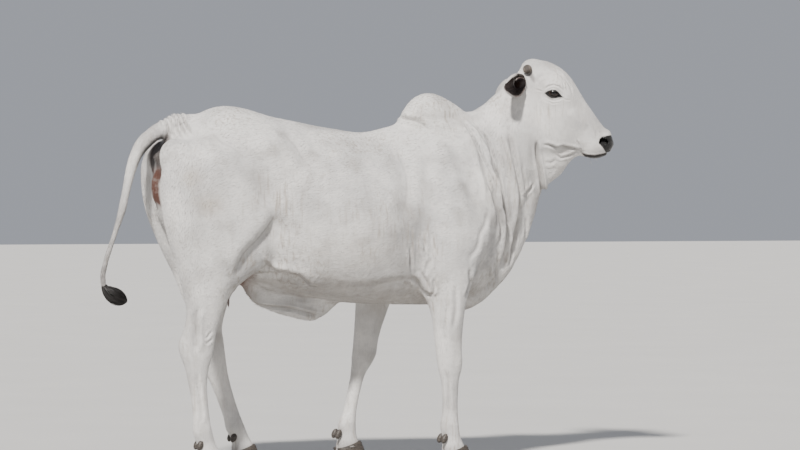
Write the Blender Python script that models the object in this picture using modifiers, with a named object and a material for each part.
"""A life-size Nelore cow, standing, as a still model.

Metres, +Z up, +X the way the trunk faces and +Y its left side. The flesh is laid out as lofts and rounded
masses in the animal's own frame, whose origin is on the ground under the middle of the back. The masses are
fused, relaxed and modelled, and the fused body is then parted by thin cuts into its named pieces. At the end
every piece moves by one shift, so that the origin is at the middle of the whole animal's footprint.
"""

import math
import random

import bmesh
import bpy
import numpy as np
from mathutils import Matrix, Vector

GAP = 0.0003
HALF_GAP = GAP / 2
RING = 28
LOFT_STEPS = 4
BODY_VOXEL = 0.0065
HEAD_VOXEL = 0.0040
MELT_AREA = 0.0011
NECK_ROWS = 13
THROAT_ROWS = 7
BODY_TRIANGLES = 6080
HEAD_TRIANGLES = 3260

# A row of a loft: x and z of the section's upper (or front) point, x and z of its lower (or rear) point,
# y of its middle, half width, share of the way up where it is widest, fullness above and below.
TRUNK = (
    (-0.800, 1.210, -0.800, 1.060, 0.0, 0.085, 0.50, 2.0, 2.0),
    (-0.780, 1.272, -0.785, 0.980, 0.0, 0.135, 0.55, 2.0, 2.0),
    (-0.730, 1.340, -0.730, 0.890, 0.0, 0.175, 0.60, 1.9, 2.0),
    (-0.640, 1.402, -0.640, 0.810, 0.0, 0.212, 0.62, 1.9, 2.0),
    (-0.546, 1.438, -0.546, 0.770, 0.0, 0.236, 0.64, 1.9, 2.0),
    (-0.450, 1.428, -0.450, 0.748, 0.0, 0.248, 0.60, 2.0, 2.0),
    (-0.340, 1.398, -0.340, 0.716, 0.0, 0.268, 0.50, 2.1, 2.1),
    (-0.210, 1.374, -0.210, 0.682, 0.0, 0.296, 0.45, 2.0, 2.2),
    (-0.085, 1.352, -0.085, 0.660, 0.0, 0.308, 0.44, 1.9, 2.2),
    (0.045, 1.339, 0.045, 0.648, 0.0, 0.298, 0.44, 1.8, 2.2),
    (0.170, 1.366, 0.170, 0.643, 0.0, 0.262, 0.44, 1.7, 2.2),
    (0.290, 1.396, 0.290, 0.640, 0.0, 0.226, 0.44, 1.6, 2.2),
    (0.400, 1.406, 0.420, 0.640, 0.0, 0.204, 0.44, 1.6, 2.0),
    (0.475, 1.420, 0.530, 0.668, 0.0, 0.182, 0.44, 1.6, 2.0),
    (0.533, 1.434, 0.630, 0.770, -0.001, 0.152, 0.44, 1.7, 1.9),
    (0.588, 1.468, 0.700, 0.900, -0.004, 0.124, 0.46, 1.8, 1.8),
    (0.645, 1.521, 0.745, 1.020, -0.010, 0.106, 0.50, 1.9, 1.8),
    (0.695, 1.572, 0.785, 1.125, -0.017, 0.096, 0.52, 2.0, 1.9),
    (0.738, 1.611, 0.815, 1.215, -0.024, 0.088, 0.54, 2.0, 2.0),
    (0.775, 1.628, 0.835, 1.285, -0.030, 0.080, 0.55, 2.0, 2.0),
)

# The loose skin under the throat and brisket: its root in the flesh, then its free edge.
DEWLAP = (
    (0.905, 1.275, 0.925, 1.205, -0.062, 0.022, 0.60, 2.0, 2.0),
    (0.870, 1.265, 0.905, 1.160, -0.055, 0.030, 0.60, 2.0, 1.8),
    (0.825, 1.240, 0.862, 1.128, -0.042, 0.040, 0.62, 2.0, 1.7),
    (0.780, 1.180, 0.828, 1.095, -0.028, 0.046, 0.66, 2.0, 1.6),
    (0.735, 1.090, 0.815, 1.035, -0.018, 0.046, 0.66, 2.0, 1.5),
    (0.705, 1.010, 0.798, 0.970, -0.012, 0.045, 0.66, 2.0, 1.5),
    (0.672, 0.930, 0.770, 0.895, -0.008, 0.046, 0.66, 2.0, 1.5),
    (0.630, 0.860, 0.735, 0.822, -0.004, 0.050, 0.66, 2.0, 1.5),
    (0.580, 0.800, 0.690, 0.752, -0.002, 0.056, 0.66, 2.0, 1.6),
    (0.520, 0.760, 0.628, 0.690, 0.000, 0.060, 0.66, 2.0, 1.7),
    (0.460, 0.740, 0.560, 0.640, 0.000, 0.060, 0.66, 2.0, 1.8),
    (0.400, 0.730, 0.480, 0.612, 0.000, 0.055, 0.66, 2.0, 2.0),
    (0.330, 0.730, 0.380, 0.618, 0.000, 0.045, 0.66, 2.0, 2.0),
)

# The hump over the withers.
HUMP = (
    (0.202, 1.390, 0.215, 1.300, 0.0, 0.030, 0.40, 2.0, 2.0),
    (0.228, 1.432, 0.240, 1.280, 0.0, 0.058, 0.40, 2.0, 2.0),
    (0.264, 1.475, 0.280, 1.260, 0.0, 0.076, 0.42, 2.2, 2.0),
    (0.320, 1.502, 0.325, 1.250, 0.0, 0.084, 0.44, 2.2, 2.0),
    (0.374, 1.496, 0.375, 1.250, 0.0, 0.082, 0.44, 2.0, 2.0),
    (0.428, 1.471, 0.425, 1.260, 0.0, 0.070, 0.42, 2.0, 2.0),
    (0.484, 1.440, 0.475, 1.290, 0.0, 0.050, 0.40, 2.0, 2.0),
)

# Legs, from inside the trunk down to the crown of the hoof: front edge, then rear edge.
FORE_NEAR = (
    (0.440, 1.150, 0.270, 1.150, -0.140, 0.070, 0.50, 2.0, 2.0),
    (0.490, 1.000, 0.230, 1.000, -0.155, 0.085, 0.50, 2.0, 2.0),
    (0.500, 0.880, 0.190, 0.880, -0.168, 0.085, 0.50, 2.0, 2.0),
    (0.480, 0.790, 0.195, 0.790, -0.176, 0.078, 0.52, 2.0, 2.0),
    (0.448, 0.720, 0.225, 0.720, -0.180, 0.068, 0.54, 2.0, 2.0),
    (0.429, 0.655, 0.258, 0.655, -0.182, 0.060, 0.55, 2.0, 2.0),
    (0.418, 0.600, 0.276, 0.600, -0.184, 0.053, 0.56, 2.0, 2.0),
    (0.410, 0.530, 0.286, 0.530, -0.186, 0.046, 0.56, 2.0, 2.0),
    (0.405, 0.470, 0.292, 0.470, -0.188, 0.044, 0.55, 2.2, 2.0),
    (0.406, 0.425, 0.298, 0.425, -0.188, 0.046, 0.58, 2.4, 2.0),
    (0.403, 0.385, 0.305, 0.385, -0.188, 0.041, 0.55, 2.3, 2.0),
    (0.394, 0.345, 0.316, 0.345, -0.188, 0.033, 0.55, 2.0, 2.2),
    (0.390, 0.280, 0.321, 0.280, -0.188, 0.029, 0.55, 2.0, 2.2),
    (0.390, 0.215, 0.320, 0.215, -0.188, 0.031, 0.55, 2.0, 2.0),
    (0.393, 0.165, 0.312, 0.165, -0.188, 0.038, 0.55, 2.0, 2.0),
    (0.401, 0.120, 0.322, 0.115, -0.188, 0.037, 0.55, 2.0, 2.0),
    (0.417, 0.082, 0.322, 0.065, -0.188, 0.049, 0.50, 2.3, 2.3),
    (0.432, 0.050, 0.326, 0.030, -0.188, 0.052, 0.50, 2.3, 2.3),
)
FORE_FAR = (
    (0.420, 1.150, 0.250, 1.150, 0.140, 0.070, 0.50, 2.0, 2.0),
    (0.450, 1.000, 0.190, 1.000, 0.155, 0.085, 0.50, 2.0, 2.0),
    (0.430, 0.880, 0.130, 0.880, 0.165, 0.083, 0.50, 2.0, 2.0),
    (0.375, 0.790, 0.095, 0.790, 0.170, 0.075, 0.52, 2.0, 2.0),
    (0.300, 0.720, 0.090, 0.715, 0.172, 0.066, 0.54, 2.0, 2.0),
    (0.245, 0.655, 0.085, 0.645, 0.173, 0.058, 0.55, 2.0, 2.0),
    (0.222, 0.600, 0.082, 0.585, 0.174, 0.052, 0.56, 2.0, 2.0),
    (0.198, 0.535, 0.078, 0.515, 0.175, 0.046, 0.56, 2.0, 2.0),
    (0.183, 0.480, 0.074, 0.460, 0.175, 0.044, 0.55, 2.2, 2.0),
    (0.176, 0.440, 0.070, 0.420, 0.175, 0.046, 0.58, 2.4, 2.0),
    (0.157, 0.400, 0.069, 0.380, 0.175, 0.041, 0.55, 2.3, 2.0),
    (0.129, 0.355, 0.066, 0.340, 0.175, 0.033, 0.55, 2.0, 2.2),
    (0.108, 0.285, 0.051, 0.270, 0.175, 0.029, 0.55, 2.0, 2.2),
    (0.094, 0.220, 0.032, 0.205, 0.175, 0.031, 0.55, 2.0, 2.0),
    (0.089, 0.170, 0.010, 0.155, 0.175, 0.038, 0.55, 2.0, 2.0),
    (0.090, 0.125, 0.012, 0.112, 0.175, 0.037, 0.55, 2.0, 2.0),
    (0.100, 0.084, 0.004, 0.066, 0.175, 0.049, 0.50, 2.3, 2.3),
    (0.114, 0.050, 0.008, 0.030, 0.175, 0.052, 0.50, 2.3, 2.3),
)
HIND_NEAR = (
    (-0.420, 1.280, -0.772, 1.290, -0.120, 0.080, 0.50, 2.0, 2.0),
    (-0.370, 1.180, -0.820, 1.215, -0.148, 0.104, 0.50, 2.0, 2.2),
    (-0.350, 1.080, -0.836, 1.110, -0.162, 0.112, 0.48, 2.0, 2.3),
    (-0.345, 0.990, -0.830, 1.010, -0.168, 0.112, 0.46, 2.0, 2.3),
    (-0.365, 0.900, -0.806, 0.910, -0.170, 0.104, 0.46, 2.0, 2.2),
    (-0.405, 0.830, -0.784, 0.835, -0.170, 0.092, 0.48, 2.0, 2.1),
    (-0.470, 0.765, -0.766, 0.765, -0.170, 0.078, 0.50, 2.0, 2.0),
    (-0.540, 0.710, -0.752, 0.705, -0.170, 0.065, 0.50, 2.0, 2.0),
    (-0.572, 0.655, -0.740, 0.650, -0.170, 0.054, 0.50, 2.0, 1.9),
    (-0.593, 0.600, -0.742, 0.600, -0.170, 0.045, 0.52, 2.0, 1.7),
    (-0.610, 0.550, -0.758, 0.550, -0.170, 0.041, 0.56, 2.0, 1.6),
    (-0.618, 0.505, -0.772, 0.512, -0.170, 0.042, 0.58, 2.1, 1.6),
    (-0.630, 0.455, -0.765, 0.470, -0.170, 0.042, 0.58, 2.2, 1.8),
    (-0.643, 0.410, -0.743, 0.415, -0.170, 0.038, 0.55, 2.2, 2.0),
    (-0.649, 0.350, -0.728, 0.350, -0.170, 0.031, 0.55, 2.0, 2.2),
    (-0.645, 0.280, -0.715, 0.280, -0.170, 0.028, 0.55, 2.0, 2.2),
    (-0.638, 0.215, -0.710, 0.215, -0.170, 0.030, 0.55, 2.0, 2.0),
    (-0.628, 0.165, -0.710, 0.165, -0.170, 0.037, 0.55, 2.0, 2.0),
    (-0.614, 0.120, -0.692, 0.112, -0.170, 0.035, 0.55, 2.0, 2.0),
    (-0.594, 0.082, -0.688, 0.064, -0.170, 0.046, 0.50, 2.3, 2.3),
    (-0.578, 0.050, -0.682, 0.030, -0.170, 0.049, 0.50, 2.3, 2.3),
)
HIND_FAR = (
    (-0.420, 1.280, -0.782, 1.290, 0.120, 0.080, 0.50, 2.0, 2.0),
    (-0.360, 1.180, -0.824, 1.215, 0.148, 0.104, 0.50, 2.0, 2.2),
    (-0.325, 1.080, -0.819, 1.110, 0.160, 0.112, 0.48, 2.0, 2.3),
    (-0.300, 0.990, -0.794, 1.010, 0.164, 0.112, 0.46, 2.0, 2.3),
    (-0.295, 0.900, -0.752, 0.910, 0.165, 0.104, 0.46, 2.0, 2.2),
    (-0.310, 0.830, -0.722, 0.835, 0.164, 0.092, 0.48, 2.0, 2.1),
    (-0.365, 0.765, -0.690, 0.765, 0.162, 0.078, 0.50, 2.0, 2.0),
    (-0.425, 0.710, -0.665, 0.700, 0.160, 0.065, 0.50, 2.0, 2.0),
    (-0.455, 0.655, -0.640, 0.640, 0.158, 0.054, 0.50, 2.0, 1.9),
    (-0.474, 0.600, -0.630, 0.580, 0.156, 0.045, 0.52, 2.0, 1.7),
    (-0.484, 0.550, -0.634, 0.525, 0.155, 0.041, 0.56, 2.0, 1.6),
    (-0.478, 0.500, -0.634, 0.480, 0.155, 0.042, 0.58, 2.1, 1.6),
    (-0.474, 0.455, -0.612, 0.435, 0.155, 0.042, 0.58, 2.2, 1.8),
    (-0.468, 0.410, -0.571, 0.388, 0.155, 0.038, 0.55, 2.2, 2.0),
    (-0.456, 0.350, -0.535, 0.330, 0.155, 0.031, 0.55, 2.0, 2.2),
    (-0.436, 0.280, -0.505, 0.262, 0.155, 0.028, 0.55, 2.0, 2.2),
    (-0.414, 0.215, -0.484, 0.200, 0.155, 0.030, 0.55, 2.0, 2.0),
    (-0.394, 0.165, -0.474, 0.150, 0.155, 0.037, 0.55, 2.0, 2.0),
    (-0.374, 0.120, -0.452, 0.106, 0.155, 0.035, 0.55, 2.0, 2.0),
    (-0.353, 0.082, -0.448, 0.062, 0.155, 0.046, 0.50, 2.3, 2.3),
    (-0.338, 0.050, -0.442, 0.030, 0.155, 0.049, 0.50, 2.3, 2.3),
)

# The head is laid out in its own frame, poll at the origin and +X towards the muzzle, and turned to the side.
POLL = Vector((0.790, -0.032, 1.645))
HEAD_TURN = math.radians(-17)
HEAD = (
    (-0.050, -0.075, -0.030, -0.270, 0.0, 0.062, 0.60, 2.0, 2.0),
    (-0.018, -0.018, -0.010, -0.330, 0.0, 0.078, 0.62, 2.3, 2.0),
    (0.028, -0.010, 0.020, -0.372, 0.0, 0.090, 0.64, 2.5, 2.0),
    (0.070, -0.022, 0.048, -0.394, 0.0, 0.100, 0.66, 2.6, 2.0),
    (0.112, -0.048, 0.080, -0.402, 0.0, 0.104, 0.66, 2.7, 2.0),
    (0.146, -0.084, 0.108, -0.404, 0.0, 0.096, 0.64, 2.7, 2.0),
    (0.172, -0.123, 0.132, -0.403, 0.0, 0.084, 0.62, 2.6, 2.0),
    (0.200, -0.165, 0.152, -0.401, 0.0, 0.070, 0.60, 2.4, 2.0),
    (0.230, -0.208, 0.172, -0.400, 0.0, 0.058, 0.58, 2.3, 2.0),
    (0.258, -0.247, 0.190, -0.400, 0.0, 0.052, 0.56, 2.3, 2.1),
    (0.282, -0.280, 0.207, -0.406, 0.0, 0.053, 0.52, 2.4, 2.2),
    (0.303, -0.303, 0.228, -0.414, 0.0, 0.056, 0.50, 2.6, 2.2),
    (0.316, -0.326, 0.252, -0.413, 0.0, 0.055, 0.50, 2.7, 2.2),
    (0.321, -0.348, 0.280, -0.405, 0.0, 0.046, 0.50, 2.5, 2.2),
    (0.319, -0.366, 0.302, -0.394, 0.0, 0.026, 0.50, 2.2, 2.0),
)

# The tail: x and z of its middle, half width across and along.
TAIL = (
    (-0.580, 1.372, 0.040, 0.030),
    (-0.640, 1.366, 0.048, 0.038),
    (-0.695, 1.360, 0.048, 0.042),
    (-0.745, 1.351, 0.044, 0.042),
    (-0.792, 1.333, 0.038, 0.037),
    (-0.831, 1.308, 0.034, 0.032),
    (-0.862, 1.278, 0.031, 0.029),
    (-0.885, 1.242, 0.025, 0.024),
    (-0.903, 1.198, 0.022, 0.021),
    (-0.918, 1.142, 0.020, 0.019),
    (-0.932, 1.080, 0.018, 0.017),
    (-0.946, 1.017, 0.016, 0.015),
    (-0.966, 0.955, 0.013, 0.012),
    (-0.987, 0.893, 0.012, 0.011),
    (-1.008, 0.830, 0.011, 0.010),
    (-1.020, 0.778, 0.011, 0.010),
    (-1.020, 0.750, 0.011, 0.010),
    (-1.018, 0.730, 0.012, 0.010),
)
TAIL_ROOT_ROWS = 5

# The tuft at the end of the tail, bent forward: middle, half width across and along.
SWITCH = (
    (-1.019, 0.746, 0.012, 0.010),
    (-1.018, 0.734, 0.013, 0.012),
    (-1.011, 0.720, 0.018, 0.018),
    (-0.998, 0.707, 0.026, 0.027),
    (-0.980, 0.694, 0.032, 0.032),
    (-0.960, 0.683, 0.033, 0.033),
    (-0.942, 0.675, 0.026, 0.026),
    (-0.930, 0.670, 0.014, 0.015),
    (-0.924, 0.667, 0.004, 0.004),
)
SWITCH_CORE = 0.5
SWITCH_SEED = 7
SWITCH_LOCK = 0.0135
# Tiers of locks: where along the tuft they start and end, and how many there are.
SWITCH_TIERS = ((0.12, 0.76, 6), (0.26, 0.94, 6), (0.40, 0.985, 3))


def clear_scene():
    for obj in list(bpy.data.objects):
        bpy.data.objects.remove(obj, do_unlink=True)


def eased(rows, steps=LOFT_STEPS):
    """Rows set between the given ones on a smooth curve through them."""
    rows = np.array(rows, dtype=float)
    padded = np.vstack([2 * rows[0] - rows[1], rows, 2 * rows[-1] - rows[-2]])
    out = []
    for i in range(1, len(rows)):
        a, b, c, d = padded[i - 1 : i + 3]
        for t in np.arange(steps) / steps:
            out.append(
                0.5
                * (2 * b + (c - a) * t + (2 * a - 5 * b + 4 * c - d) * t**2 + (3 * b - a - 3 * c + d) * t**3)
            )
    return np.array(out + [rows[-1]])


def section_ring(row, count):
    """One closed section through its upper and lower points."""
    tx, tz, bx, bz, y, half_width, widest, upper, lower = row
    top = np.array([tx, y, tz])
    bottom = np.array([bx, y, bz])
    middle = bottom + (top - bottom) * widest
    ring = []
    for angle in 2 * math.pi * np.arange(count) / count:
        across, along = math.cos(angle), math.sin(angle)
        power = 2 / (upper if along >= 0 else lower)
        reach = (top - middle) if along >= 0 else (middle - bottom)
        wide = half_width * math.copysign(abs(across) ** power, across)
        ring.append(middle + reach * math.copysign(abs(along) ** power, along) + np.array([0, wide, 0]))
    return ring


def mesh_of_rings(rings):
    """A closed mesh through rings of the same count, with flat ends."""
    count = len(rings[0])
    verts = [tuple(p) for ring in rings for p in ring]
    faces = []
    for i in range(len(rings) - 1):
        for j in range(count):
            k = (j + 1) % count
            faces.append((i * count + j, i * count + k, (i + 1) * count + k, (i + 1) * count + j))
    faces.append(tuple(reversed(range(count))))
    faces.append(tuple(range((len(rings) - 1) * count, len(rings) * count)))
    bm = bmesh.new()
    made = [bm.verts.new(v) for v in verts]
    for face in faces:
        bm.faces.new([made[i] for i in face])
    bmesh.ops.recalc_face_normals(bm, faces=bm.faces)
    mesh = bpy.data.meshes.new("rings")
    bm.to_mesh(mesh)
    bm.free()
    return mesh


def loft(rows, count=RING, steps=LOFT_STEPS):
    return mesh_of_rings([section_ring(row, count) for row in eased(rows, steps)])


def tube(rows, count=16, steps=LOFT_STEPS):
    """A bent tube in the XZ plane from rows of x, z, half width across and half width along."""
    rows = eased(rows, steps)
    rings = []
    for i, (x, z, across, along) in enumerate(rows):
        before, after = rows[max(i - 1, 0)], rows[min(i + 1, len(rows) - 1)]
        way = Vector((after[0] - before[0], 0, after[1] - before[1])).normalized()
        normal = Vector((-way.z, 0, way.x))
        ring = []
        for angle in 2 * math.pi * np.arange(count) / count:
            offset = normal * (along * math.sin(angle)) + Vector((0, across * math.cos(angle), 0))
            ring.append(Vector((x, 0, z)) + offset)
        rings.append(ring)
    return mesh_of_rings(rings)


def ellipsoid(centre, radii, turn=(0, 0, 0), detail=4):
    """A rounded mass: its middle, its three half sizes and how it is turned, in degrees."""
    bm = bmesh.new()
    bmesh.ops.create_icosphere(bm, subdivisions=detail, radius=1)
    angles = [math.radians(a) for a in turn]
    turned = Matrix.Rotation(angles[2], 4, "Z") @ Matrix.Rotation(angles[1], 4, "Y")
    turned = turned @ Matrix.Rotation(angles[0], 4, "X")
    bm.transform(Matrix.Translation(centre) @ turned @ Matrix.Diagonal((*radii, 1)))
    mesh = bpy.data.meshes.new("ellipsoid")
    bm.to_mesh(mesh)
    bm.free()
    return mesh


def joined(meshes, name):
    """The given meshes in one object, each still a shell of its own."""
    bm = bmesh.new()
    for mesh in meshes:
        bm.from_mesh(mesh)
        bpy.data.meshes.remove(mesh)
    mesh = bpy.data.meshes.new(name)
    bm.to_mesh(mesh)
    bm.free()
    obj = bpy.data.objects.new(name, mesh)
    bpy.context.scene.collection.objects.link(obj)
    return obj


def apply_modifiers(obj):
    """Puts the object's evaluated mesh in place of its own."""
    graph = bpy.context.evaluated_depsgraph_get()
    mesh = bpy.data.meshes.new_from_object(obj.evaluated_get(graph))
    obj.modifiers.clear()
    old = obj.data
    obj.data = mesh
    bpy.data.meshes.remove(old)


def fuse(meshes, name, voxel):
    """One surface over all the shells, with its cells this far apart."""
    obj = joined(meshes, name)
    remesh = obj.modifiers.new("fuse", "REMESH")
    remesh.mode = "VOXEL"
    remesh.voxel_size = voxel
    apply_modifiers(obj)
    return obj


class Clay:
    """The points of a fused mesh, with the moves that model it."""

    def __init__(self, obj):
        self.obj = obj
        mesh = obj.data
        self.count = len(mesh.vertices)
        points = np.empty(self.count * 3, np.float32)
        mesh.vertices.foreach_get("co", points)
        self.points = points.reshape(-1, 3).astype(float)
        edges = np.empty(len(mesh.edges) * 2, np.int32)
        mesh.edges.foreach_get("vertices", edges)
        self.ends = edges.reshape(-1, 2)
        a, b = self.ends.T
        self.valence = np.bincount(a, minlength=self.count) + np.bincount(b, minlength=self.count)
        self.store()

    def store(self):
        """Writes the points to the mesh and takes the normals again."""
        mesh = self.obj.data
        mesh.vertices.foreach_set("co", self.points.astype(np.float32).ravel())
        mesh.update()
        normals = np.empty(self.count * 3, np.float32)
        mesh.vertices.foreach_get("normal", normals)
        self.normals = normals.reshape(-1, 3).astype(float)

    def relax(self, rounds, weight):
        """Draws each point to the middle of its neighbours, by its weight."""
        a, b = self.ends.T
        weight = np.broadcast_to(weight, self.count)[:, None] / self.valence[:, None]
        for _ in range(rounds):
            total = np.stack(
                [
                    np.bincount(a, self.points[b, k], self.count) + np.bincount(b, self.points[a, k], self.count)
                    for k in range(3)
                ],
                axis=1,
            )
            self.points = self.points + weight * (total - self.valence[:, None] * self.points)
        self.store()

    def bump(self, centre, radii, height, local=None):
        """Raises a soft rise along the normals, or a hollow where the height is under zero."""
        at = self.points if local is None else local
        far = (((at - np.array(centre)) / np.array(radii)) ** 2).sum(axis=1)
        self.points = self.points + self.normals * (height * np.exp(-0.5 * far))[:, None]

    def ridge(self, path, width, height, side=0, local=None, sharp=2.0):
        """Raises a ridge over a path seen from the side, or sinks a crease along it."""
        at = self.points if local is None else local
        flat = at[:, [0, 2]]
        path = np.array(path, dtype=float)
        best = np.full(len(flat), 9.0)
        along = np.zeros(len(flat))
        for i in range(len(path) - 1):
            step = path[i + 1] - path[i]
            t = np.clip(((flat - path[i]) @ step) / (step @ step), 0, 1)
            away = np.hypot(*(flat - path[i] - t[:, None] * step).T)
            near = away < best
            best[near] = away[near]
            along[near] = (i + t[near]) / (len(path) - 1)
        fade = np.clip(np.minimum(along, 1 - along) / 0.22, 0, 1)
        fade = fade * fade * (3 - 2 * fade)
        rise = height * np.exp(-0.5 * (best / width) ** sharp) * fade
        if side:
            rise = rise * np.clip(side * self.normals[:, 1] * 1.6 + 0.15, 0, 1) * (side * at[:, 1] > -0.01)
        self.points = self.points + self.normals * rise[:, None]


SIDES = {"right": -1, "left": 1}

# The muscles that fill the shoulder, the thigh and the rump: middle, half sizes and turn, right side given.
MUSCLES = (
    ((0.385, -0.104, 1.070), (0.105, 0.080, 0.230), (0, -18, 0)),
    ((0.465, -0.128, 0.900), (0.080, 0.072, 0.110), (0, 0, 0)),
    ((0.290, -0.160, 0.870), (0.120, 0.075, 0.140), (0, -20, 0)),
    ((-0.620, -0.145, 1.120), (0.180, 0.110, 0.200), (0, 0, 0)),
    ((-0.480, -0.160, 0.950), (0.120, 0.095, 0.160), (0, 20, 0)),
    ((-0.420, -0.150, 1.250), (0.100, 0.085, 0.080), (0, 0, 0)),
    ((-0.762, -0.094, 1.230), (0.062, 0.060, 0.074), (0, 0, 0)),
)

# The hanging fold of skin at the navel, and the small udder behind it.
NAVEL_FLAP = (
    (-0.455, 0.765, -0.455, 0.705, 0.0, 0.020, 0.60, 2.0, 2.0),
    (-0.430, 0.765, -0.430, 0.678, 0.0, 0.026, 0.66, 2.0, 1.8),
    (-0.390, 0.755, -0.400, 0.648, 0.0, 0.032, 0.70, 2.0, 1.5),
    (-0.320, 0.740, -0.318, 0.612, 0.0, 0.036, 0.72, 2.0, 1.4),
    (-0.250, 0.720, -0.240, 0.590, 0.0, 0.038, 0.74, 2.0, 1.3),
    (-0.190, 0.710, -0.168, 0.576, 0.0, 0.038, 0.74, 2.0, 1.3),
    (-0.130, 0.700, -0.112, 0.596, 0.0, 0.034, 0.72, 2.0, 1.4),
    (-0.090, 0.690, -0.070, 0.630, 0.0, 0.028, 0.66, 2.0, 1.6),
    (-0.060, 0.690, -0.050, 0.650, 0.0, 0.020, 0.60, 2.0, 2.0),
)
UDDER = ((-0.548, 0.000, 0.745), (0.085, 0.080, 0.068))
TEATS = ((-0.520, 0.034), (-0.576, 0.030))
TEAT_LENGTH = 0.050
TEAT_RADIUS = 0.011

# The skin that hangs between the jaws, from the chin to the throat, in the head's frame.
THROAT = (
    (0.212, -0.372, 0.205, -0.396, 0.0, 0.018, 0.60, 2.0, 2.0),
    (0.180, -0.350, 0.176, -0.404, 0.0, 0.030, 0.62, 2.0, 1.8),
    (0.145, -0.340, 0.150, -0.428, 0.0, 0.040, 0.66, 2.0, 1.6),
    (0.105, -0.335, 0.126, -0.462, 0.0, 0.048, 0.68, 2.0, 1.5),
    (0.060, -0.330, 0.100, -0.490, 0.0, 0.055, 0.68, 2.0, 1.5),
    (0.010, -0.320, 0.062, -0.520, 0.0, 0.060, 0.66, 2.0, 1.5),
    (-0.040, -0.320, 0.015, -0.560, 0.0, 0.055, 0.64, 2.0, 1.6),
    (-0.080, -0.340, -0.040, -0.580, 0.0, 0.045, 0.60, 2.0, 1.8),
)

# Places on the head, in its own frame, right side given.
EYE = Vector((0.066, -0.090, -0.149))
EYE_RADIUS = 0.021
LID_REACH = 0.031
LID_LIFT = 0.0135
LID_DROP = 0.0105
LID_SLANT = 0.006
HORN_BUD = Vector((-0.037, -0.068, -0.050))
EAR_ROOT = Vector((-0.065, -0.066, -0.104))
EAR_WAYS = {-1: Vector((-0.28, -0.93, -0.18)).normalized(), 1: Vector((-0.22, -0.93, -0.28)).normalized()}
EAR_FACE = Vector((0.80, -0.50, 0.15)).normalized()
EAR_LENGTH = 0.165
EAR_WIDTH = 0.050
EAR_STUB = 0.026
EAR_BASE = 0.024
EAR_STUB_RADIUS = 0.030
EAR_PLUG = 0.028
EAR_WALL = 0.0035
EAR_RADII = (EAR_BASE, 0.026, 0.038, EAR_WIDTH, 0.049, 0.038, 0.025, 0.007)

HEAD_FRAME = Matrix.Translation(POLL) @ Matrix.Rotation(HEAD_TURN, 4, "Z")


def mirrored_y(vector, side):
    """The right side's place, or its mirror image on the left."""
    return Vector((vector[0], vector[1] * (-1 if side > 0 else 1), vector[2]))


def placed(mesh, matrix):
    mesh.transform(matrix)
    return mesh


def pairs_of(masses):
    """Each mass on the right, and its mirror image on the left."""
    found = []
    for centre, radii, turn in masses:
        for side in SIDES.values():
            turned = (turn[0] * -side, turn[1], turn[2] * -side)
            found.append(ellipsoid(mirrored_y(centre, side), radii, turned))
    return found


def ear_frame(side):
    """The ear's frame: X along it, Z out of its open face."""
    way = mirrored_y(EAR_WAYS[side], side)
    face = mirrored_y(EAR_FACE, side)
    face = (face - way * face.dot(way)).normalized()
    across = face.cross(way)
    turned = Matrix((way, across, face)).transposed().to_4x4()
    return HEAD_FRAME @ Matrix.Translation(mirrored_y(EAR_ROOT, side)) @ turned


def ear_stub(side):
    """The thick base of the ear, rooted in the skull."""
    mesh = ellipsoid((0.0, 0.0, 0.0), (0.060, EAR_STUB_RADIUS, EAR_STUB_RADIUS), (0, 0, 0), 3)
    return placed(mesh, ear_frame(side))


def head_masses():
    """The shells of the head, in the animal's frame."""
    masses = [loft(HEAD), loft(THROAT)]
    for side in SIDES.values():
        masses.append(ellipsoid(mirrored_y((0.052, -0.058, -0.285), side), (0.085, 0.037, 0.105)))
        masses.append(ellipsoid(mirrored_y((0.066, -0.076, -0.142), side), (0.044, 0.030, 0.036)))
        masses.append(ellipsoid(mirrored_y((0.288, -0.030, -0.330), side), (0.030, 0.030, 0.042)))
    masses.append(ellipsoid((-0.010, 0.0, -0.040), (0.050, 0.062, 0.038)))
    masses.append(ellipsoid((0.246, 0.0, -0.397), (0.036, 0.036, 0.020), (0, 0, 0)))
    masses = [placed(mesh, HEAD_FRAME) for mesh in masses]
    return masses + [ear_stub(side) for side in SIDES.values()]


def body_masses():
    """The shells of everything but the free tail, the ears, the eyes and the horn."""
    masses = [loft(rows) for rows in (TRUNK, DEWLAP, HUMP, FORE_NEAR, FORE_FAR, HIND_NEAR, HIND_FAR)]
    masses.append(loft(NAVEL_FLAP))
    masses.append(ellipsoid(*UDDER))
    masses.append(tube(TAIL[:TAIL_ROOT_ROWS]))
    for x, y in TEATS:
        for side in SIDES.values():
            reach = (TEAT_RADIUS, TEAT_RADIUS, TEAT_LENGTH)
            masses.append(ellipsoid((x, side * y, UDDER[0][2] - UDDER[1][2]), reach))
    return masses + pairs_of(MUSCLES)


# Rises and hollows of the body, right side given: middle, reach and height.
BODY_RISES = (
    ((-0.405, -0.245, 1.300), (0.050, 0.060, 0.040), 0.014),
    ((-0.770, -0.120, 1.262), (0.040, 0.050, 0.035), 0.008),
    ((-0.270, -0.260, 1.240), (0.085, 0.090, 0.055), -0.020),
    ((-0.560, -0.240, 1.270), (0.090, 0.060, 0.060), -0.010),
    ((0.170, -0.260, 1.080), (0.055, 0.090, 0.170), -0.014),
    ((0.440, -0.200, 1.220), (0.050, 0.080, 0.120), -0.008),
    ((0.495, -0.190, 0.900), (0.045, 0.060, 0.050), 0.014),
    ((0.230, -0.220, 0.800), (0.050, 0.060, 0.060), 0.010),
    ((-0.400, -0.250, 0.860), (0.060, 0.070, 0.060), 0.010),
    ((-0.740, -0.200, 0.960), (0.050, 0.080, 0.120), 0.008),
)


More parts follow.
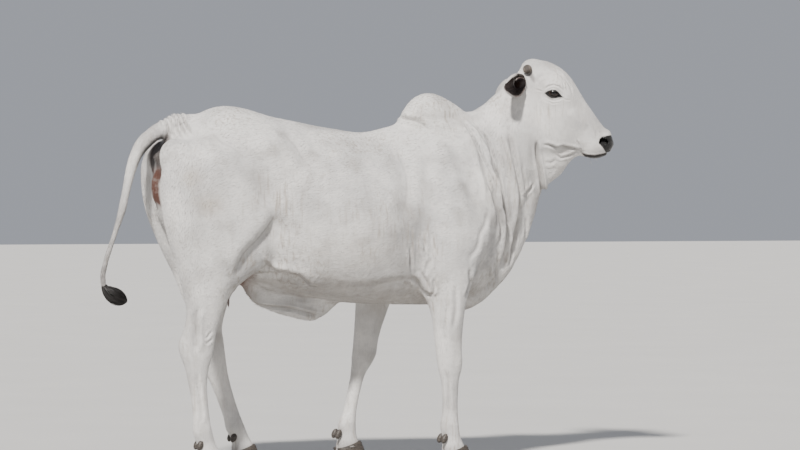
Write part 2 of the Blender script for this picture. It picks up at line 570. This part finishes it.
def model_body(clay):
    for centre, reach, height in BODY_RISES:
        for side in SIDES.values():
            clay.bump(mirrored_y(centre, side), reach, height)
    clay.store()
    for side in SIDES.values():
        clay.ridge(((0.340, 1.330), (0.385, 1.150), (0.440, 0.960)), 0.022, 0.006, side)
        clay.ridge(((0.285, 1.280), (0.240, 1.050), (0.200, 0.860)), 0.022, -0.006, side)
        clay.ridge(((-0.700, 1.230), (-0.690, 1.000), (-0.680, 0.780)), 0.020, -0.006, side)
        clay.ridge(((-0.470, 0.800), (-0.400, 0.735), (-0.300, 0.712), (-0.180, 0.700)), 0.016, 0.010, side)
    clay.ridge(((0.230, 1.400), (0.330, 1.385), (0.480, 1.405)), 0.012, -0.006)
    clay.store()


def model_head(clay):
    local = in_head_frame(clay.points)
    for side in SIDES.values():

        def at(x, y, z):
            return mirrored_y((x, y, z), side)

        clay.bump(at(0.066, -0.104, -0.150), (0.022, 0.030, 0.012), -0.007, local)
        clay.bump(at(0.072, -0.100, -0.118), (0.030, 0.030, 0.011), 0.006, local)
        clay.bump(at(0.170, -0.075, -0.190), (0.050, 0.030, 0.030), -0.007, local)
        clay.bump(at(0.294, -0.044, -0.337), (0.012, 0.022, 0.009), -0.016, local)
        clay.bump(at(0.286, -0.052, -0.317), (0.016, 0.020, 0.008), 0.005, local)
    clay.store()
    for side in SIDES.values():
        mouth = ((0.310, -0.392), (0.275, -0.396), (0.235, -0.398), (0.195, -0.392), (0.165, -0.376))
        clay.ridge(mouth, 0.0045, -0.007, side, local)
        clay.ridge(((0.130, -0.215), (0.170, -0.255), (0.215, -0.290)), 0.012, 0.004, side, local)
        clay.ridge(((0.040, -0.385), (0.100, -0.378), (0.160, -0.385)), 0.008, -0.004, side, local)
    clay.store()


def in_head_frame(points):
    inverse = HEAD_FRAME.inverted()
    return points @ np.array(inverse.to_3x3()).T + np.array(inverse.translation)


def softness(points):
    """How far the masses melt together: most on the trunk, least on the head and feet."""
    height = np.clip((points[:, 2] - 0.45) / 0.35, 0, 1)
    thin = np.clip((0.72 - points[:, 2]) / 0.06, 0, 1) * (np.abs(points[:, 1]) < 0.07)
    local = in_head_frame(points)
    face = np.clip((local[:, 0] + 0.10 - 0.25 * (local[:, 2] + 0.05)) / 0.08, 0, 1)
    face = face * np.clip((local[:, 2] + 0.44) / 0.06, 0, 1)
    return np.maximum(0.10 + 0.90 * height - 0.6 * thin - 0.75 * face, 0.1)


def melt(clay, voxel):
    clay.relax(round(MELT_AREA / voxel**2), softness(clay.points))


def fused_body():
    obj = fuse(body_masses() + head_masses(), "fused_body", BODY_VOXEL)
    clay = Clay(obj)
    melt(clay, BODY_VOXEL)
    model_body(clay)
    clay.relax(3, 0.5)
    return obj


def fused_head():
    """The head and the top of the neck, fused more finely."""
    masses = [loft(TRUNK[NECK_ROWS:]), loft(DEWLAP[:THROAT_ROWS])]
    obj = fuse(masses + head_masses(), "fused_head", HEAD_VOXEL)
    clay = Clay(obj)
    melt(clay, HEAD_VOXEL)
    model_head(clay)
    clay.relax(1, 0.5)
    return obj


# Cuts that part the body. A box: its middle, its full sizes and its turn about Y in degrees.
HEAD_CUT = (Vector((0.464, 0.0, -0.240)), (1.0, 1.0, 1.4), -16.5)
NECK_CUT = (Vector((1.030, 0.0, 1.158)), (1.0, 1.0, 2.0), -9.5)
DEWLAP_CUT = (Vector((1.178, 0.0, 0.760)), (1.0, 1.0, 2.0), 22.0)
HUMP_CUT = (Vector((0.340, 0.0, 1.506)), (0.320, 0.300, 0.200), -7.6)
FLAP_CUT = (Vector((-0.273, 0.0, 0.580)), (0.440, 0.120, 0.200), 10.6)
UDDER_CUT = (Vector((-0.560, 0.0, 0.640)), (0.190, 0.158, 0.200), 0.0)
TAIL_CUT_AT = Vector((-0.762, 0.0, 1.345))
TAIL_CUT_TURN = -18.0
SWITCH_CUT = (Vector((-0.960, 0.0, 0.638)), (0.200, 0.200, 0.200), 0.0)
CROWN_SLOPE = 17.8
LEGS = {
    "fore_leg_right": (FORE_NEAR, (0.335, -0.205, 0.336), (0.320, 0.200, 0.672), 0.432, (0.322, -0.188), 1.0),
    "fore_leg_left": (FORE_FAR, (0.140, 0.205, 0.336), (0.360, 0.200, 0.672), 0.448, (0.005, 0.175), 1.0),
    "hind_leg_right": (HIND_NEAR, (-0.640, -0.205, 0.390), (0.400, 0.240, 0.780), 0.500, (-0.686, -0.170), 0.94),
    "hind_leg_left": (HIND_FAR, (-0.570, 0.205, 0.390), (0.440, 0.240, 0.780), 0.490, (-0.446, 0.155), 0.94),
}

MATERIALS = {
    "coat": ((0.72, 0.70, 0.67), 0.75),
    "hoof": ((0.09, 0.08, 0.07), 0.45),
    "horn": ((0.20, 0.17, 0.15), 0.55),
    "eye": ((0.015, 0.012, 0.010), 0.08),
    "ear": ((0.62, 0.58, 0.55), 0.70),
    "hair": ((0.020, 0.018, 0.017), 0.60),
    "udder": ((0.48, 0.38, 0.34), 0.70),
}


def material(kind):
    found = bpy.data.materials.get(kind)
    if found:
        return found
    colour, roughness = MATERIALS[kind]
    made = bpy.data.materials.new(kind)
    made.use_nodes = True
    shader = made.node_tree.nodes["Principled BSDF"]
    shader.inputs["Base Color"].default_value = (*colour, 1)
    shader.inputs["Roughness"].default_value = roughness
    shader.inputs["Metallic"].default_value = 0.0
    return made


def box(name, cut, grow, frame=None):
    """A cutting box, this much bigger on every side."""
    centre, sizes, turn = cut
    bm = bmesh.new()
    bmesh.ops.create_cube(bm, size=1)
    scale = Matrix.Diagonal((*(size + 2 * grow for size in sizes), 1))
    place = Matrix.Translation(centre) @ Matrix.Rotation(math.radians(turn), 4, "Y")
    bm.transform((frame or Matrix()) @ place @ scale)
    mesh = bpy.data.meshes.new(name)
    bm.to_mesh(mesh)
    bm.free()
    return helper(name, mesh)


def helper(name, mesh):
    """A cutter: never rendered, drawn as wire."""
    obj = bpy.data.objects.new(name, mesh)
    bpy.data.collections["cutters"].objects.link(obj)
    obj.hide_render = True
    obj.display_type = "WIRE"
    return obj


def boolean(obj, other, operation):
    cut = obj.modifiers.new(operation.lower(), "BOOLEAN")
    cut.operation = operation
    cut.object = other
    apply_modifiers(obj)
    keep_largest(obj)


def keep_largest(obj):
    """Drops loose scraps and sealed hollows: only the largest closed surface stays."""
    bm = bmesh.new()
    bm.from_mesh(obj.data)
    bmesh.ops.dissolve_degenerate(bm, dist=1e-6, edges=bm.edges)
    bmesh.ops.triangulate(bm, faces=bm.faces)
    unseen = set(bm.faces)
    shells = []
    while unseen:
        front = [unseen.pop()]
        shell = list(front)
        while front:
            for edge in front.pop().edges:
                for face in edge.link_faces:
                    if face in unseen:
                        unseen.discard(face)
                        front.append(face)
                        shell.append(face)
        shells.append(shell)
    shells.sort(key=len)
    drop = [face for shell in shells[:-1] for face in shell]
    bmesh.ops.delete(bm, geom=drop, context="FACES")
    loose = [vert for vert in bm.verts if not vert.link_faces]
    bmesh.ops.delete(bm, geom=loose, context="VERTS")
    bm.to_mesh(obj.data)
    bm.free()


def node(name, mesh, kind):
    """A named piece in the cow's collection."""
    obj = bpy.data.objects.new(name, mesh)
    bpy.data.collections["nelore_cow"].objects.link(obj)
    mesh.materials.clear()
    mesh.materials.append(material(kind))
    return obj


def part_off(body, name, cut, kind="coat", frame=None):
    """Cuts the box's inside off the body as a piece of its own, a thin gap apart."""
    piece = node(name, body.data.copy(), kind)
    boolean(piece, box(name + "_inside", cut, -HALF_GAP, frame), "INTERSECT")
    boolean(body, box(name + "_outside", cut, HALF_GAP, frame), "DIFFERENCE")
    return piece


def thinned(obj, triangles):
    """Fewer triangles, kept where the form turns."""
    obj.data.calc_loop_triangles()
    fewer = obj.modifiers.new("fewer", "DECIMATE")
    fewer.ratio = triangles / len(obj.data.loop_triangles)
    fewer.use_collapse_triangulate = True
    apply_modifiers(obj)


def claw_cut(foot, scale):
    """The ground's side of the slanting crown of the hoof."""
    x, y = foot
    middle = Vector((x + 0.052 * scale, y, 0.0615))
    slope = math.radians(CROWN_SLOPE)
    down = Vector((math.sin(slope), 0, -math.cos(slope)))
    return (middle + down * 0.1, (0.3, 0.2, 0.2), -CROWN_SLOPE)


def claws(name, foot, scale):
    """The two hoofs of a foot, a thin cleft apart, from the crown to the ground."""
    x, y = foot
    reach = 0.099 * scale
    for label, side in (("inner", -math.copysign(1, y)), ("outer", math.copysign(1, y))):
        middle = y + side * 0.0262 * scale
        rows = (
            (x + reach - 0.001, 0.0825, x - 0.001, 0.0485, middle, 0.0236 * scale, 0.45, 2.4, 2.6),
            (x + reach + 0.010, 0.0560, x + 0.003, 0.0300, middle, 0.0250 * scale, 0.45, 2.3, 2.6),
            (x + reach + 0.022, 0.0250, x + 0.008, 0.0120, middle, 0.0256 * scale, 0.42, 2.1, 2.6),
            (x + reach + 0.030, 0.0, x + 0.012, 0.0, middle, 0.0252 * scale, 0.40, 1.9, 2.6),
        )
        mesh = mesh_of_rings([section_ring(row, 16) for row in rows])
        piece = node(f"{name}_claw_{label}", mesh, "hoof")
        boolean(piece, box(piece.name + "_crown", claw_cut(foot, scale), -HALF_GAP), "INTERSECT")


def dewclaws(leg, name, foot, scale):
    """The two small hoofs behind the fetlock, each in a hollow of the leg."""
    x, y = foot
    for label, side in (("inner", -math.copysign(1, y)), ("outer", math.copysign(1, y))):
        centre = (x + 0.001, y + side * 0.022 * scale, 0.116)
        reach = (0.013, 0.012, 0.021)
        grown = tuple(r + GAP for r in reach)
        node(f"{name}_dewclaw_{label}", ellipsoid(centre, reach, (0, 25, 0), 2), "hoof")
        cutter = helper(f"{name}_dewclaw_{label}_seat", ellipsoid(centre, grown, (0, 25, 0), 2))
        boolean(leg, cutter, "DIFFERENCE")


def legs(body):
    for name, (rows, middle, sizes, joint, foot, scale) in LEGS.items():
        leg = part_off(body, name + "_upper", (Vector(middle), sizes, 0.0))
        lower_cut = (Vector((middle[0], middle[1], joint / 2 - 0.05)), (0.7, 0.26, joint + 0.1), 0.0)
        lower = part_off(leg, name + "_lower", lower_cut)
        boolean(lower, box(name + "_crown", claw_cut(foot, scale), HALF_GAP), "DIFFERENCE")
        claws(name, foot, scale)
        dewclaws(lower, name, foot, scale)


def switch_point(rows, t, angle, share):
    """A point of the tuft: how far along it, which way round, and how far out to its surface."""
    place = t * (len(rows) - 1)
    i = min(int(place), len(rows) - 2)
    x, z, across, along = rows[i] + (rows[i + 1] - rows[i]) * (place - i)
    way = Vector((rows[i + 1][0] - rows[i][0], 0, rows[i + 1][1] - rows[i][1])).normalized()
    normal = Vector((-way.z, 0, way.x))
    out = normal * (along * math.sin(angle)) + Vector((0, across * math.cos(angle), 0))
    return Vector((x, 0, z)) + out * share


def lock(rows, start, end, angle, width, twist):
    """One flat, tapered lock that lies along the tuft, from its core out to the surface."""
    rings = []
    for t in (0, 0.2, 0.45, 0.75, 1):
        along = start + (end - start) * t
        turned = angle + twist * t
        share = 0.30 + 0.66 * math.sin(min(t / 0.7, 1) * math.pi / 2)
        centre = switch_point(rows, along, turned, share)
        side = switch_point(rows, along, turned + 0.3, share) - switch_point(rows, along, turned - 0.3, share)
        side = side.normalized() if side.length > 1e-6 else Vector((0, 1, 0))
        out = (centre - switch_point(rows, along, turned, 0)).normalized()
        half = width * (1 - t**2.2) * (0.6 + 0.4 * min(t / 0.25, 1)) + 0.0006
        thick = max(half * 0.42, 0.0006)
        rings.append([centre + side * half, centre + out * thick, centre - side * half, centre - out * thick])
    return mesh_of_rings(rings)


def switch():
    """The tuft of the tail: flat locks over a slim core, fused to one closed body."""
    draw = random.Random(SWITCH_SEED)
    rows = eased(SWITCH, 3)
    slim = [(x, z, across * SWITCH_CORE, along * SWITCH_CORE) for x, z, across, along in SWITCH[:-1]]
    slim[0] = SWITCH[0]
    slim[1] = SWITCH[1]
    tuft = node("tail_switch", tube(slim, 10, 1), "hair")
    group = bpy.data.collections.new("locks")
    for tier, (start, end, count) in enumerate(SWITCH_TIERS):
        for i in range(count):
            angle = 2 * math.pi * (i + 0.5 * (tier % 2) + draw.uniform(-0.15, 0.15)) / count
            first = start + draw.uniform(-0.02, 0.02)
            last = min(end + draw.uniform(-0.07, 0.05), 0.985)
            mesh = lock(rows, first, last, angle, SWITCH_LOCK * draw.uniform(0.85, 1.2), draw.uniform(-0.35, 0.35))
            group.objects.link(bpy.data.objects.new(f"lock_{tier}_{i}", mesh))
    fused = tuft.modifiers.new("fused", "BOOLEAN")
    fused.operation = "UNION"
    fused.operand_type = "COLLECTION"
    fused.collection = group
    fused.solver = "MANIFOLD"
    apply_modifiers(tuft)
    for obj in list(group.objects):
        bpy.data.objects.remove(obj)
    bpy.data.collections.remove(group)
    keep_largest(tuft)
    boolean(tuft, box("switch_inside", SWITCH_CUT, -HALF_GAP), "INTERSECT")


def ear_shell():
    """The ear along +X with its open face to +Z: a tube at the root that opens to a cupped leaf."""
    rings = []
    for u in np.linspace(0, 1, 11):
        radius = np.interp(u, (0, 0.15, 0.30, 0.50, 0.65, 0.80, 0.90, 1), EAR_RADII)
        opening = math.radians(np.interp(u, (0.0, 0.20, 0.34, 0.50, 1.0), (178, 168, 120, 92, 80)))
        bend = -0.030 * u * u
        outer = []
        inner = []
        for angle in np.linspace(-opening, opening, 9):
            edge = 1 - 0.6 * (abs(angle) / opening) ** 4
            for r, ring in ((radius + EAR_WALL * edge, outer), (radius - EAR_WALL * edge, inner)):
                height = bend + radius - EAR_BASE - r * math.cos(angle)
                ring.append(Vector((u * EAR_LENGTH, r * math.sin(angle), height)))
        rings.append(outer + inner[::-1])
    return mesh_of_rings(rings)


def ears(head):
    for label, side in SIDES.items():
        frame = ear_frame(side)
        flip = Matrix.Diagonal((1, side, 1, 1))
        shell = ear_shell()
        shell.transform(flip)
        if side < 0:
            shell.flip_normals()
        ear = node(f"ear_{label}", placed(shell, frame), "ear")
        root = ellipsoid((0.008, 0.0, 0.0), (0.036, EAR_PLUG, EAR_PLUG), (0, 0, 0), 2)
        boolean(ear, helper(f"ear_{label}_root", placed(root, frame)), "UNION")
        beyond = (Vector((0.5 + EAR_STUB, 0, 0)), (1.0, 0.4, 0.4), 0.0)
        boolean(ear, box(f"ear_{label}_inside", beyond, -HALF_GAP, frame), "INTERSECT")
        near = (Vector((0.05 + EAR_STUB, 0, 0)), (0.10, 0.11, 0.11), 0.0)
        boolean(head, box(f"ear_{label}_outside", near, HALF_GAP, frame), "DIFFERENCE")


def seated(head, name, centre, radii, turn, kind, detail):
    """A rounded piece sunk in a hollow of the head."""
    piece = node(name, placed(ellipsoid(centre, radii, turn, detail), HEAD_FRAME), kind)
    grown = tuple(r + GAP for r in radii)
    seat = helper(name + "_seat", placed(ellipsoid(centre, grown, turn, detail), HEAD_FRAME))
    boolean(head, seat, "DIFFERENCE")
    return piece


def lids(head):
    """The upper and lower lid of each eye: thin rims that follow the ball."""
    for label, side in SIDES.items():
        for rim, lift in (("upper", LID_LIFT), ("lower", -LID_DROP)):
            rows = []
            for t in np.linspace(-1, 1, 7):
                bow = 1 - t * t
                height = EYE.z + lift * bow - LID_SLANT * t
                rows.append((EYE.x + LID_REACH * t, height, 0.0055, 0.0035 + 0.0010 * bow))
            mesh = tube(rows, 6, 2)
            for vert in mesh.vertices:
                round_ball = 1 - ((vert.co.x - EYE.x) / LID_REACH) ** 2
                vert.co.y += side * (-EYE.y + EYE_RADIUS * 0.45 + 0.0075 * round_ball)
            boolean(head, helper(f"lid_{rim}_{label}", placed(mesh, HEAD_FRAME)), "UNION")


def centre_footprint():
    """Moves every piece by one shift, so that the middle of the footprint is over the origin."""
    pieces = bpy.data.collections["nelore_cow"].objects
    corners = [vert.co for obj in pieces for vert in obj.data.vertices]
    low = Vector([min(co[k] for co in corners) for k in range(3)])
    high = Vector([max(co[k] for co in corners) for k in range(3)])
    shift = Matrix.Translation((-(low.x + high.x) / 2, -(low.y + high.y) / 2, -low.z))
    for obj in list(pieces) + list(bpy.data.collections["cutters"].objects):
        obj.data.transform(shift)
        obj.data.shade_smooth()


def build():
    clear_scene()
    for name in ("nelore_cow", "cutters"):
        made = bpy.data.collections.new(name)
        bpy.context.scene.collection.children.link(made)
    body = fused_body()
    thinned(body, BODY_TRIANGLES)
    fine_head = fused_head()
    thinned(fine_head, HEAD_TRIANGLES)
    head = part_off(fine_head, "head", HEAD_CUT, "coat", HEAD_FRAME)
    boolean(body, box("head_outside_body", HEAD_CUT, HALF_GAP, HEAD_FRAME), "DIFFERENCE")
    bpy.data.objects.remove(fine_head)
    neck = part_off(body, "neck", NECK_CUT)
    part_off(neck, "dewlap", DEWLAP_CUT)
    part_off(body, "hump", HUMP_CUT)
    part_off(body, "navel_flap", FLAP_CUT)
    part_off(body, "udder", UDDER_CUT, "udder")
    legs(body)
    way = Matrix.Rotation(math.radians(TAIL_CUT_TURN), 3, "Y") @ Vector((-1, 0, 0))
    root = (TAIL_CUT_AT + way * 0.06, (0.12, 0.14, 0.10), TAIL_CUT_TURN)
    boolean(body, box("tail_outside", root, HALF_GAP), "DIFFERENCE")
    tail = node("tail", tube(TAIL, 12, 2), "coat")
    beyond = (TAIL_CUT_AT + way * 0.5, (1.0, 0.4, 2.0), TAIL_CUT_TURN)
    boolean(tail, box("tail_inside", beyond, -HALF_GAP), "INTERSECT")
    node("torso", body.data.copy(), "coat")
    bpy.data.objects.remove(body)
    boolean(tail, box("switch_outside", SWITCH_CUT, HALF_GAP), "DIFFERENCE")
    switch()
    ears(head)
    lids(head)
    for label, side in SIDES.items():
        radii = (EYE_RADIUS, EYE_RADIUS * 0.8, EYE_RADIUS)
        seated(head, f"eye_{label}", mirrored_y(EYE, side), radii, (0, 0, 0), "eye", 2)
        bud = (0.019, 0.016, 0.019)
        seated(head, f"horn_bud_{label}", mirrored_y(HORN_BUD, side), bud, (0, 0, 0), "horn", 2)
    centre_footprint()


build()
